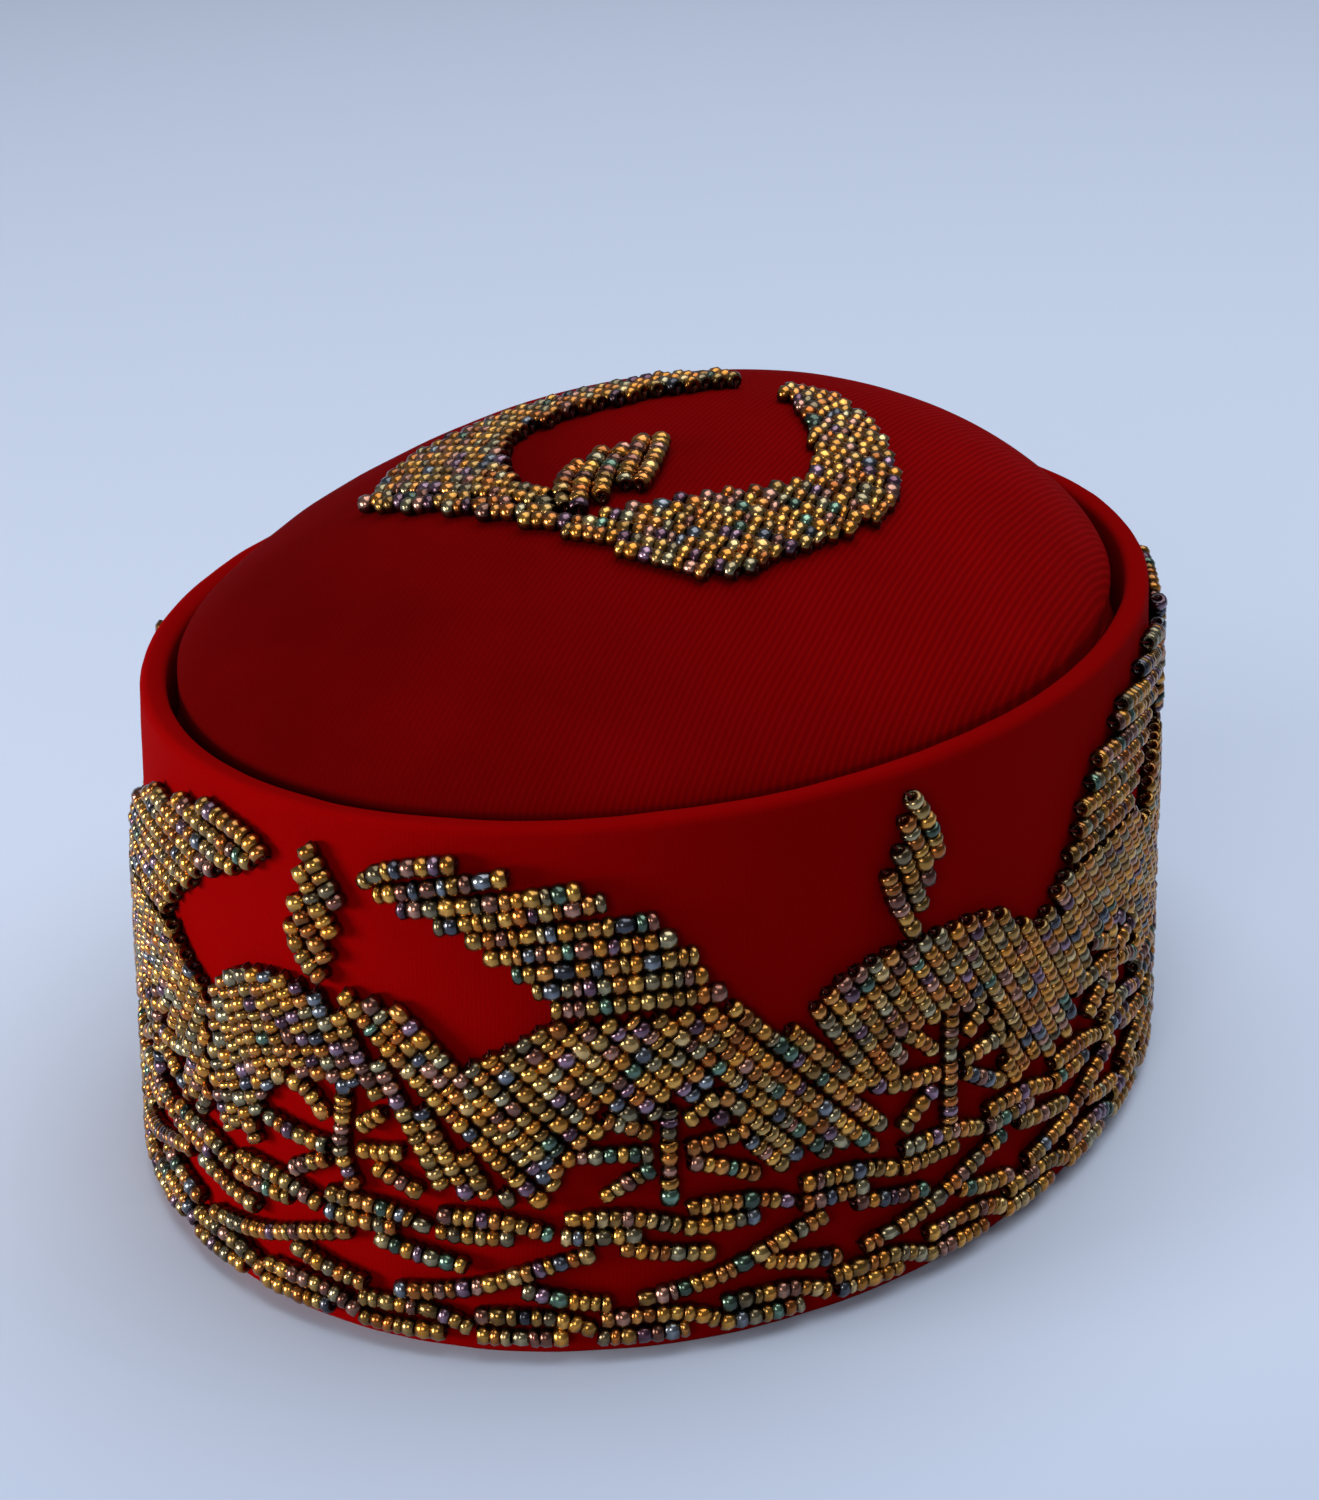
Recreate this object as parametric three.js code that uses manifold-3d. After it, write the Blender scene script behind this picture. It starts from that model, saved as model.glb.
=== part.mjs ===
// A beaded cloth cap: a padded oval side band round a low domed crown, with beadwork sewn on as relief.
// Millimetres, +Z up, the wearer's front faces -Y, and the hem stands on z = 0 with the oval's centre at the origin.
import * as THREE from "three";
import { mergeVertices } from "three/addons/utils/BufferGeometryUtils.js";
import Module from "manifold-3d";

const wasm = await Module();
wasm.setup();

// Driving dimensions of the cloth
const rimHalfLength = 102; // outside the rim, front to back
const rimHalfWidth = 80.8; // outside the rim, side to side
const bandHeight = 88; // hem to rim
const hemFlare = 3.1; // how far the hem stands out past the rim
const rimLift = 1.5; // the rim stands higher on the wearer's left side, +X
const bandWall = 4.3; // padded cloth of the side band
const crownInset = 8.1; // rim's outside to the crown's outside
const crownWall = 2.2; // layered cloth of the crown
const crownRise = 28.7; // rim to the top of an upright dome
const crownRound = 0.71; // power of the dome's profile, lower is boxier
const crownLean = 0.25; // extra height at the back end, as a share of the rise
const grooveDepth = 9; // the crown's seam below the rim
const seamRun = 6; // height in which the crown's skirt spreads out to the band
const skirtHem = 3; // the crown's skirt ends this far above the floor
const edgeRound = 1.6; // rounding of the rim's two edges
const sewnGap = 0.3; // clearance between pieces that are sewn together

// Driving dimensions of the beadwork
const beadHeight = 2.7; // thickness of a layer of beads
const strandRadius = 1.35; // one string of beads
const repeats = 3; // times that the frieze repeats round the band
const wavesPerQuarter = 4; // copies of the wavy strings in a quarter of the band

// Heights of the frieze on the band, as shares of the band's height
const hemRowLowShare = 0.032;
const hemRowHighShare = 0.104;
const topRowLowShare = 0.23;
const topRowHighShare = 0.301;
const fieldLowShare = 0.309;
const wingLowShare = 0.668;
const fieldUnderWingShare = 0.662;

const ringSegments = 48;
const arcSteps = 720;
const lengthOverWidth = rimHalfLength - rimHalfWidth;
const crownHalfLength = rimHalfLength - crownInset;
const halfRepeats = 2 * repeats;

const beadGold = { color: 0xb08a48, roughness: 0.3, metalness: 0.6 };
const clothRed = { color: 0x8c0306, roughness: 0.9, metalness: 0 };

// A point of the cap from its radius along Y, its height and its angle from the front, counter-clockwise.
function capPoint(radius, height, angle) {
  const across = radius - lengthOverWidth * Math.min(1, radius / crownHalfLength);
  const x = across * Math.sin(angle);
  const y = -radius * Math.cos(angle);
  const lean = (crownLean * y) / crownHalfLength;
  const dome = Math.max(0, height - bandHeight) * lean;
  const side = radius > crownHalfLength ? rimLift * Math.sin(angle) * (height / bandHeight) : 0;
  return new THREE.Vector3(x, y, height + dome + side);
}

// The band's outside radius along Y at a height.
function bandRadius(height) {
  return rimHalfLength + hemFlare * (1 - height / bandHeight);
}

// Angle from the front for each share of the way round the band at mid height, by equal steps of length.
const arcTable = [0];
for (let i = 1; i <= arcSteps; i++) {
  const at = (n) => capPoint(bandRadius(bandHeight / 2), 0, (2 * Math.PI * n) / arcSteps);
  arcTable.push(arcTable[i - 1] + at(i).distanceTo(at(i - 1)));
}

function angleAt(turn) {
  const whole = Math.floor(turn);
  const wanted = (turn - whole) * arcTable[arcSteps];
  let i = 1;
  while (i < arcSteps && arcTable[i] < wanted) i++;
  const part = (wanted - arcTable[i - 1]) / (arcTable[i] - arcTable[i - 1]);
  return 2 * Math.PI * (whole + (i - 1 + part) / arcSteps);
}

// A point over the band: along in half repeats from the front, height as a share, out from the cloth in mm.
function wallPoint(along, heightShare, out) {
  const height = heightShare * bandHeight;
  const angle = angleAt(along / halfRepeats);
  const radius = bandRadius(height);
  const point = capPoint(radius, height, angle);
  const across = radius - lengthOverWidth;
  const normal = new THREE.Vector3(Math.sin(angle) / across, -Math.cos(angle) / radius, 0).normalize();
  return point.addScaledVector(normal, out);
}

function domeHeight(share) {
  return crownRise * Math.pow(Math.max(0, 1 - share * share), crownRound);
}

// A point over the crown: x and y as shares of the crown's half width and half length, out in mm.
function crownPoint(xShare, yShare, out) {
  const surface = (u, v) => {
    const share = Math.hypot(u, v);
    return capPoint(share * crownHalfLength, bandHeight + domeHeight(share), Math.atan2(u, -v));
  };
  const step = 0.01;
  const alongX = surface(xShare + step, yShare).sub(surface(xShare - step, yShare));
  const alongY = surface(xShare, yShare + step).sub(surface(xShare, yShare - step));
  return surface(xShare, yShare).addScaledVector(alongX.cross(alongY).normalize(), out);
}

function moved(geometry, place) {
  const position = geometry.getAttribute("position");
  for (let i = 0; i < position.count; i++) {
    const to = place(position.getX(i), position.getY(i), position.getZ(i));
    position.setXYZ(i, to.x, to.y, to.z);
  }
  return geometry;
}

// A box bent over a surface: place takes 0 to 1 across, 0 to 1 up, and the distance out from the cloth.
function bentPad(across, up, place) {
  const box = new THREE.BoxGeometry(1, 1, 1, across, up, 1);
  return moved(box, (x, y, z) => place(x + 0.5, y + 0.5, sewnGap + (z + 0.5) * beadHeight));
}

// A closed lathe turned round the cap's own oval.
function ovalLathe(profile) {
  const points = profile.map(([radius, height]) => new THREE.Vector2(radius, height));
  const lathe = new THREE.LatheGeometry(points, ringSegments);
  return moved(lathe, (x, y, z) => capPoint(Math.hypot(x, z), y, Math.atan2(x, z)));
}

function solidOf(geometry) {
  const bare = geometry.index ? geometry.toNonIndexed() : geometry.clone();
  bare.deleteAttribute("normal");
  bare.deleteAttribute("uv");
  const merged = mergeVertices(bare, 1e-3);
  const mesh = { numProp: 3, vertProperties: merged.attributes.position.array };
  return new wasm.Manifold(new wasm.Mesh({ ...mesh, triVerts: new Uint32Array(merged.index.array) }));
}

function geometryOf(solid) {
  const made = solid.getMesh();
  const geometry = new THREE.BufferGeometry();
  geometry.setAttribute("position", new THREE.BufferAttribute(made.vertProperties, 3));
  geometry.setIndex(new THREE.BufferAttribute(made.triVerts, 1));
  const flat = geometry.toNonIndexed();
  flat.computeVertexNormals();
  return flat;
}

// Value at x in rows of named columns, with straight lines between the rows.
function readRow(rows, key, x, value) {
  const last = rows.length - 1;
  if (x <= rows[0][key]) return rows[0][value];
  if (x >= rows[last][key]) return rows[last][value];
  const next = rows.findIndex((row) => row[key] > x);
  const part = (x - rows[next - 1][key]) / (rows[next][key] - rows[next - 1][key]);
  return rows[next - 1][value] + part * (rows[next][value] - rows[next - 1][value]);
}

// Side band: a padded wall with a rounded rim and a flat hem
function bandGeometry() {
  const outside = bandRadius(0);
  const softness = [0, 30, 60, 90].map((degrees) => THREE.MathUtils.degToRad(degrees));
  const rimOutside = softness.map((turn) => [
    rimHalfLength - edgeRound * (1 - Math.cos(turn)),
    bandHeight - edgeRound * (1 - Math.sin(turn)),
  ]);
  const rimInside = [...softness].reverse().map((turn) => [
    rimHalfLength - bandWall + edgeRound * (1 - Math.cos(turn)),
    bandHeight - edgeRound * (1 - Math.sin(turn)),
  ]);
  const hem = [
    [outside - bandWall, edgeRound / 2],
    [outside - bandWall + edgeRound / 2, 0],
    [outside - edgeRound / 2, 0],
    [outside, edgeRound / 2],
  ];
  return ovalLathe([...hem, ...rimOutside, ...rimInside, hem[0]]);
}

// Crown: a leaning dome whose edge drops into the groove and spreads out to the band as a skirt
function crownGeometry() {
  const shares = [0, 0.22, 0.42, 0.6, 0.75, 0.87, 0.94, 0.98, 1];
  const skirtTop = bandHeight - grooveDepth - seamRun;
  const skirt = (height) => bandRadius(height) - bandWall - sewnGap;
  const outerDome = shares.map((share) => [share * crownHalfLength, bandHeight + domeHeight(share)]);
  const innerDome = shares.map((share) => [
    share * (crownHalfLength - crownWall),
    bandHeight - crownWall + domeHeight(share),
  ]);
  const innerSkirt = [
    [crownHalfLength - crownWall, bandHeight - grooveDepth],
    [skirt(skirtTop) - crownWall, skirtTop - crownWall],
    [skirt(skirtHem) - crownWall, skirtHem],
  ];
  const outerSkirt = [
    [skirt(skirtHem), skirtHem],
    [skirt(skirtTop), skirtTop],
    [crownHalfLength, bandHeight - grooveDepth + crownWall],
  ];
  return ovalLathe([...innerDome, ...innerSkirt, ...outerSkirt, ...outerDome.reverse()]);
}

// Top edge of the beaded field over half a repeat, from the front leaf (0) to the side leaf (1)
const fieldTop = [
  { along: 0, high: 0.68 },
  { along: 0.06, high: 0.694 },
  { along: 0.15, high: 0.68 },
  { along: 0.195, high: 0.65 },
  { along: 0.24, high: 0.586 },
  { along: 0.28, high: 0.606 },
  { along: 0.33, high: 0.64 },
  { along: 0.365, high: fieldUnderWingShare },
  { along: 0.645, high: fieldUnderWingShare },
  { along: 0.67, high: 0.655 },
  { along: 0.71, high: 0.62 },
  { along: 0.737, high: 0.598 },
  { along: 0.76, high: 0.606 },
  { along: 0.79, high: 0.643 },
  { along: 0.83, high: 0.672 },
  { along: 0.9, high: 0.692 },
  { along: 1, high: 0.694 },
];
const fieldSplit = 0.737;
const fieldColumns = 40;
const fieldGap = 0.0035; // half of the cut between two neighbours, in half repeats

// Openings in the field either side of each little beaded stem, from the stem's middle
const openings = [
  { from: -0.155, to: -0.022, low: 0.345, high: 0.5 },
  { from: 0.022, to: 0.125, low: 0.345, high: 0.5 },
];
const firstStem = 0.046;
const stemSpacing = 0.5;

// A six-sided cutter through the beadwork, a little deeper than the layer on both sides.
function openingCutter(middle, hole) {
  const outline = new THREE.Shape();
  const corner = 0.25;
  const corners = [
    [corner, 0],
    [1 - corner, 0],
    [1, 0.5],
    [1 - corner, 1],
    [corner, 1],
    [0, 0.5],
  ];
  corners.forEach(([x, y], i) => (i ? outline.lineTo(x, y) : outline.moveTo(x, y)));
  outline.closePath();
  const prism = new THREE.ExtrudeGeometry(outline, { depth: 1, bevelEnabled: false });
  return solidOf(
    moved(prism, (x, y, z) => {
      const along = middle + THREE.MathUtils.lerp(hole.from, hole.to, x);
      const high = THREE.MathUtils.lerp(hole.low, hole.high, y);
      return wallPoint(along, high, THREE.MathUtils.lerp(-beadHeight, 2 * beadHeight, z));
    }),
  );
}

function fieldGeometry(index) {
  const start = fieldSplit - 2 + 2 * index + fieldGap;
  const end = fieldSplit + 2 * index - fieldGap;
  let field = solidOf(
    bentPad(fieldColumns, 1, (x, y, out) => {
      const along = THREE.MathUtils.lerp(start, end, x);
      const fromFront = Math.abs(along - 2 * Math.round(along / 2));
      const high = readRow(fieldTop, "along", fromFront, "high");
      return wallPoint(along, THREE.MathUtils.lerp(fieldLowShare, high, y), out);
    }),
  );
  const stems = Math.round(halfRepeats / stemSpacing);
  for (let stem = -stems; stem < stems * 2; stem++) {
    for (const hole of openings) {
      const middle = firstStem + stem * stemSpacing;
      const inside = middle + hole.from > start && middle + hole.to < end;
      if (inside) field = field.subtract(openingCutter(middle, hole));
    }
  }
  return geometryOf(field);
}

// A wing from its tip near the front leaf to its root over the field
const wingRows = [
  { along: 0.088, low: 0.872, high: 0.908 },
  { along: 0.147, low: 0.838, high: 0.944 },
  { along: 0.21, low: 0.808, high: 0.958 },
  { along: 0.272, low: 0.766, high: 0.951 },
  { along: 0.325, low: 0.725, high: 0.937 },
  { along: 0.376, low: wingLowShare, high: 0.925 },
  { along: 0.43, low: wingLowShare, high: 0.911 },
  { along: 0.48, low: wingLowShare, high: 0.878 },
  { along: 0.533, low: wingLowShare, high: 0.85 },
  { along: 0.575, low: wingLowShare, high: 0.799 },
  { along: 0.617, low: wingLowShare, high: 0.736 },
  { along: 0.648, low: wingLowShare, high: 0.7 },
];

function wingGeometry(middle, side) {
  const rows = wingRows.map((row) => ({ ...row, at: middle + side * row.along }));
  if (side < 0) rows.reverse();
  const last = rows.length - 1;
  return bentPad(last, 1, (x, y, out) => {
    const row = rows[Math.round(x * last)];
    return wallPoint(row.at, THREE.MathUtils.lerp(row.low, row.high, y), out);
  });
}

// The two little leaves: left and right edges at each height, in half repeats from the leaf's middle
const frontLeaf = [
  { high: 0.705, left: 0.004, right: 0.03 },
  { high: 0.74, left: -0.02, right: 0.034 },
  { high: 0.785, left: -0.036, right: 0.04 },
  { high: 0.83, left: -0.034, right: 0.05 },
  { high: 0.87, left: -0.03, right: 0.046 },
  { high: 0.905, left: -0.014, right: 0.03 },
  { high: 0.95, left: -0.01, right: 0.008 },
];
const sideLeaf = [
  { high: 0.705, left: -0.035, right: -0.008 },
  { high: 0.75, left: -0.062, right: 0.002 },
  { high: 0.8, left: -0.088, right: 0.008 },
  { high: 0.85, left: -0.096, right: 0.03 },
  { high: 0.89, left: -0.074, right: 0.022 },
  { high: 0.93, left: -0.066, right: 0.002 },
  { high: 0.985, left: -0.058, right: -0.034 },
];

function leafGeometry(middle, rows) {
  const last = rows.length - 1;
  return bentPad(2, last, (x, y, out) => {
    const row = rows[Math.round(y * last)];
    return wallPoint(middle + THREE.MathUtils.lerp(row.left, row.right, x), row.high, out);
  });
}

// A string of beads as one round tube along points
function strandSolid(points, steps) {
  const section = new THREE.Shape();
  const sides = 5;
  for (let i = 0; i < sides; i++) {
    const turn = (2 * Math.PI * i) / sides;
    const corner = [strandRadius * Math.cos(turn), strandRadius * Math.sin(turn)];
    if (i) section.lineTo(...corner);
    else section.moveTo(...corner);
  }
  section.closePath();
  const extrudePath = new THREE.CatmullRomCurve3(points);
  return solidOf(new THREE.ExtrudeGeometry(section, { steps, bevelEnabled: false, extrudePath }));
}

// One wave of the net: along in waves, height from the hem rows (0) to the upper rows (1)
const waveStrings = [
  [
    { along: 0, high: 0.06 },
    { along: 0.21, high: 0.2 },
    { along: 0.4, high: 0.37 },
    { along: 0.6, high: 0.64 },
    { along: 0.82, high: 0.93 },
  ],
  [
    { along: 0.47, high: 0.46 },
    { along: 0.64, high: 0.23 },
    { along: 0.88, high: 0.05 },
  ],
  [
    { along: 0.94, high: 0.93 },
    { along: 1.12, high: 0.78 },
    { along: 1.33, high: 0.68 },
  ],
];
const firstWave = 0.122;
const waveSteps = 3;

function netGeometry(quarter) {
  const quarterSpan = halfRepeats / 4;
  const start = firstWave + quarter * quarterSpan;
  const rowPad = (low, high) =>
    solidOf(
      bentPad(3 * wavesPerQuarter, 1, (x, y, out) => {
        const along = start + fieldGap + x * (quarterSpan - 2 * fieldGap);
        return wallPoint(along, THREE.MathUtils.lerp(low, high, y), out);
      }),
    );
  const wave = quarterSpan / wavesPerQuarter;
  let net = rowPad(hemRowLowShare, hemRowHighShare).add(rowPad(topRowLowShare, topRowHighShare));
  for (let copy = 0; copy < wavesPerQuarter; copy++) {
    for (const string of waveStrings) {
      const points = string.map((knot) => {
        const height = THREE.MathUtils.lerp(hemRowHighShare, topRowLowShare, knot.high);
        const along = start + wave * (copy + knot.along) + 2 * fieldGap;
        return wallPoint(along, height, sewnGap + strandRadius);
      });
      net = net.add(strandSolid(points, waveSteps));
    }
  }
  return geometryOf(net);
}

// The crown's crescent: edges of its two arms, as shares of the crown's half width, from front to back
const crescentRows = [
  { back: -0.44, leftOuter: -0.41, leftInner: 0.03, rightInner: 0, rightOuter: 0.3 },
  { back: -0.4, leftOuter: -0.48, leftInner: 0.03, rightInner: 0, rightOuter: 0.41 },
  { back: -0.365, leftOuter: -0.52, leftInner: 0.03, rightInner: 0, rightOuter: 0.42 },
  { back: -0.33, leftOuter: -0.5, leftInner: 0.03, rightInner: 0.0, rightOuter: 0.45 },
  { back: -0.3, leftOuter: -0.52, leftInner: -0.12, rightInner: 0.13, rightOuter: 0.48 },
  { back: -0.25, leftOuter: -0.56, leftInner: -0.2, rightInner: 0.22, rightOuter: 0.53 },
  { back: -0.19, leftOuter: -0.59, leftInner: -0.25, rightInner: 0.29, rightOuter: 0.555 },
  { back: -0.12, leftOuter: -0.6, leftInner: -0.26, rightInner: 0.36, rightOuter: 0.58 },
  { back: -0.05, leftOuter: -0.56, leftInner: -0.23, rightInner: 0.4, rightOuter: 0.6 },
  { back: 0.02, leftOuter: -0.51, leftInner: -0.17, rightInner: 0.38, rightOuter: 0.59 },
  { back: 0.1, leftOuter: -0.43, leftInner: -0.1, rightInner: 0.32, rightOuter: 0.55 },
  { back: 0.17, leftOuter: -0.36, leftInner: -0.03, rightInner: 0.26, rightOuter: 0.49 },
  { back: 0.24, leftOuter: -0.28, leftInner: 0.035, rightInner: 0.17, rightOuter: 0.41 },
  { back: 0.3, leftOuter: -0.16, leftInner: 0.045, rightInner: 0.13, rightOuter: 0.28 },
];

function crescentGeometry() {
  const last = crescentRows.length - 1;
  const arm = (inner, outer) =>
    solidOf(
      bentPad(3, last, (x, y, out) => {
        const row = crescentRows[Math.round(y * last)];
        return crownPoint(THREE.MathUtils.lerp(row[inner], row[outer], x), row.back, out);
      }),
    );
  return geometryOf(arm("leftOuter", "leftInner").add(arm("rightInner", "rightOuter")));
}

// The crown's leaf: its left and right edges, as shares of the crown's half width, from foot to tip
const crownLeafRows = [
  { back: -0.3, left: -0.049, right: 0.09 },
  { back: -0.245, left: -0.073, right: 0.13 },
  { back: -0.19, left: -0.066, right: 0.136 },
  { back: -0.14, left: -0.05, right: 0.12 },
  { back: -0.1, left: 0.005, right: 0.1 },
  { back: -0.055, left: 0.036, right: 0.073 },
];

function crownLeafGeometry() {
  const last = crownLeafRows.length - 1;
  return bentPad(3, last, (x, y, out) => {
    const row = crownLeafRows[Math.round(y * last)];
    return crownPoint(THREE.MathUtils.lerp(row.left, row.right, x), row.back, out);
  });
}

const cap = new THREE.Group();

function addPiece(name, geometry, finish) {
  const piece = new THREE.Mesh(geometry, new THREE.MeshStandardMaterial(finish));
  piece.name = name;
  cap.add(piece);
}

addPiece("band", bandGeometry(), clothRed);
addPiece("crown", crownGeometry(), clothRed);
addPiece("crown_crescent", crescentGeometry(), beadGold);
addPiece("crown_leaf", crownLeafGeometry(), beadGold);
for (let repeat = 0; repeat < repeats; repeat++) {
  const middle = 2 * repeat;
  const number = repeat + 1;
  addPiece(`bead_field_${number}`, fieldGeometry(repeat), beadGold);
  addPiece(`wing_left_${number}`, wingGeometry(middle, -1), beadGold);
  addPiece(`wing_right_${number}`, wingGeometry(middle, 1), beadGold);
  addPiece(`leaf_front_${number}`, leafGeometry(middle, frontLeaf), beadGold);
  addPiece(`leaf_side_${number}`, leafGeometry(middle + 1, sideLeaf), beadGold);
}
for (let quarter = 0; quarter < 4; quarter++) {
  addPiece(`bead_net_${quarter + 1}`, netGeometry(quarter), beadGold);
}

export default cap;
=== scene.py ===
# Dresses the beaded cap: its red cloth, and every seed bead of the beadwork, in place of the plain solids.
import math

import bpy
import numpy as np
from mathutils import Matrix, Vector, noise


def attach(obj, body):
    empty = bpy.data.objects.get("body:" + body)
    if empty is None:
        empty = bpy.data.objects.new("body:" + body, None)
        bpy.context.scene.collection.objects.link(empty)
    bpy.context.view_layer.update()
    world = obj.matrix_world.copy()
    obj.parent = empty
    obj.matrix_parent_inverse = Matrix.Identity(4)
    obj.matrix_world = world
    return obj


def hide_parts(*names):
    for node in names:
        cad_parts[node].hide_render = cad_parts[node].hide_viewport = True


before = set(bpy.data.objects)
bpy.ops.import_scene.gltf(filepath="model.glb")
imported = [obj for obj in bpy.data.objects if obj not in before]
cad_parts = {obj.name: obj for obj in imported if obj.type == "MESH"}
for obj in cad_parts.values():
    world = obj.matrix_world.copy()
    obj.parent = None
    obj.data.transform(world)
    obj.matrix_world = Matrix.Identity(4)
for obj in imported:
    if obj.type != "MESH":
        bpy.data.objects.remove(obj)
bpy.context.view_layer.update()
draws = np.random.default_rng(7)

# The cap's own form, in metres
cap = {
    "rimHalfLength": 0.102,
    "rimHalfWidth": 0.0808,
    "bandHeight": 0.088,
    "hemFlare": 0.0031,
    "rimLift": 0.0015,  # the rim stands higher on the wearer's left
    "bandWall": 0.0043,
    "crownInset": 0.0081,
    "crownWall": 0.0022,
    "crownRise": 0.0287,
    "crownRound": 0.71,
    "crownLean": 0.25,
    "grooveDepth": 0.009,
    "seamRun": 0.006,
    "skirtHem": 0.003,
    "sewnGap": 0.0003,
}
lengthOverWidth = cap["rimHalfLength"] - cap["rimHalfWidth"]
crownHalfLength = cap["rimHalfLength"] - cap["crownInset"]


def bandRadius(height):
    return cap["rimHalfLength"] + cap["hemFlare"] * (1 - height / cap["bandHeight"])


def capPoint(radius, height, angle):
    # radius along Y, height, and the angle from the front, all of them arrays
    across = radius - lengthOverWidth * np.minimum(1, radius / crownHalfLength)
    x = across * np.sin(angle)
    y = -radius * np.cos(angle)
    dome = np.maximum(0, height - cap["bandHeight"]) * cap["crownLean"] * y / crownHalfLength
    lift = cap["rimLift"] * np.sin(angle) * height / cap["bandHeight"]
    return np.stack([x, y, height + dome + np.where(radius > crownHalfLength, lift, 0)], -1)


# The angle from the front by length along the band at mid height, read at every half degree
arcAngles = np.linspace(0, 2 * np.pi, 721)
arcRing = capPoint(bandRadius(cap["bandHeight"] / 2) + 0 * arcAngles, 0 * arcAngles, arcAngles)
arcLengths = np.concatenate([[0], np.cumsum(np.linalg.norm(np.diff(arcRing, axis=0), axis=1))])


def angleAt(turn):
    whole = np.floor(turn)
    return 2 * np.pi * whole + np.interp((turn - whole) * arcLengths[-1], arcLengths, arcAngles)


# The beadwork is charted in steps of about a millimetre: along the band from the front, and up from the hem
chart = {
    "step": 0.00102,
    "bandSteps": 86.4,
    "halfRepeat": 95.84,
    "halfRepeats": 6,
    "front": 0.9,  # the cap's front on the chart
    "crownWide": 71.2,
    "crownLong": 92.0,
}


def wallSurface(along, high, out):
    turn = along / chart["halfRepeat"] / chart["halfRepeats"]
    height = high / chart["bandSteps"] * cap["bandHeight"]
    angle = angleAt(turn)
    radius = bandRadius(height)
    across = radius - lengthOverWidth
    normal = np.stack([np.sin(angle) / across, -np.cos(angle) / radius, 0 * angle], -1)
    normal /= np.linalg.norm(normal, axis=1, keepdims=True)
    return capPoint(radius, height, angle) + normal * out, normal


def domeHeight(share):
    return cap["crownRise"] * np.maximum(0, 1 - share * share) ** cap["crownRound"]


def crownSurface(across, back, out):
    def at(u, v):
        share = np.hypot(u, v)
        return capPoint(share * crownHalfLength, cap["bandHeight"] + domeHeight(share), np.arctan2(u, -v))

    u = across / chart["crownWide"]
    v = back / chart["crownLong"]
    small = 0.01
    normal = np.cross(at(u + small, v) - at(u - small, v), at(u, v + small) - at(u, v - small))
    normal /= np.linalg.norm(normal, axis=1, keepdims=True)
    return at(u, v) + normal * out, normal


# Shader maths: a wire is one output, and arithmetic on wires adds Math nodes
class Wire:
    def __init__(self, shop, socket):
        self.shop = shop
        self.socket = socket

    def join(self, operation, first, second=0.0):
        return self.shop.node("ShaderNodeMath", {"operation": operation}, {0: first, 1: second})

    def __add__(self, other):
        return self.join("ADD", self, other)

    def __radd__(self, other):
        return self.join("ADD", other, self)

    def __sub__(self, other):
        return self.join("SUBTRACT", self, other)

    def __rsub__(self, other):
        return self.join("SUBTRACT", other, self)

    def __mul__(self, other):
        return self.join("MULTIPLY", self, other)

    def __rmul__(self, other):
        return self.join("MULTIPLY", other, self)

    def power(self, other):
        return self.join("POWER", self, other)

    def wave(self):
        # a sine brought to the range 0 to 1
        return self.join("SINE", self) * 0.5 + 0.5

    def clamped(self):
        return self.join("MAXIMUM", self.join("MINIMUM", self, 1.0), 0.0)


class Shop:
    def __init__(self, name, principled):
        self.material = bpy.data.materials.new(name)
        self.material.use_nodes = True
        self.tree = self.material.node_tree
        self.surface = self.tree.nodes["Principled BSDF"]
        for socket, value in principled.items():
            self.surface.inputs[socket].default_value = value

    def node(self, kind, settings, sockets, output=0):
        made = self.tree.nodes.new(kind)
        for name, value in settings.items():
            setattr(made, name, value)
        for name, value in sockets.items():
            self.put(made.inputs[name], value)
        return Wire(self, made.outputs[output])

    def put(self, socket, value):
        if isinstance(value, Wire):
            self.tree.links.new(value.socket, socket)
        else:
            socket.default_value = value

    def feed(self, socket, value):
        self.put(self.surface.inputs[socket], value)

    def split(self, vector):
        # the first two parts of a vector
        first = self.node("ShaderNodeSeparateXYZ", {}, {0: vector})
        return first, Wire(self, first.socket.node.outputs[1])

    def noise(self, place, scale, detail=2.0, roughness=0.5):
        sockets = {"Vector": place, "Scale": scale, "Detail": detail, "Roughness": roughness}
        return self.node("ShaderNodeTexNoise", {}, sockets)

    def mix(self, share, first, second):
        # a mix node takes its two colours at inputs 6 and 7, and gives the result at output 2
        return self.node("ShaderNodeMix", {"data_type": "RGBA"}, {0: share, 6: first, 7: second}, 2)

    def bump(self, height, strength, distance):
        sockets = {"Height": height, "Strength": strength, "Distance": distance}
        return self.node("ShaderNodeBump", {}, sockets)


# Red twill: fine ribs run front to back on the crown, clearest at its back right where the light falls, and
# up and down on the band; the crown's front left is darkened with painted shade
crownLook = {
    "ground": (0.17, 0.0003, 0.0006, 1),
    "rib": (0.28, 0.0009, 0.0013, 1),
    # a dark red, for random blotches of wear and for the painted shade on the crown's front left
    "wornAndShade": (0.05, 0.0001, 0.0003, 1),
    "ribPitch": 0.00098,
    "ribTurn": 7.0,
    "ribShift": 2.4,
    "ribDepth": 0.85,
    "fadeFrom": -0.07,  # from here towards the right and the back the ribs grow clearer and the painted shade on the front left falls away
    "fadeRun": 0.13,
    "fadeBack": 0.6,
    # painted shade: how far the dark red darkens the cloth where the ribs fade, on the crown's front left
    "paintedShadeWhereFaded": 0.8,
    "leastRib": 0.2,
    "weftScale": 9500.0,
}
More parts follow.
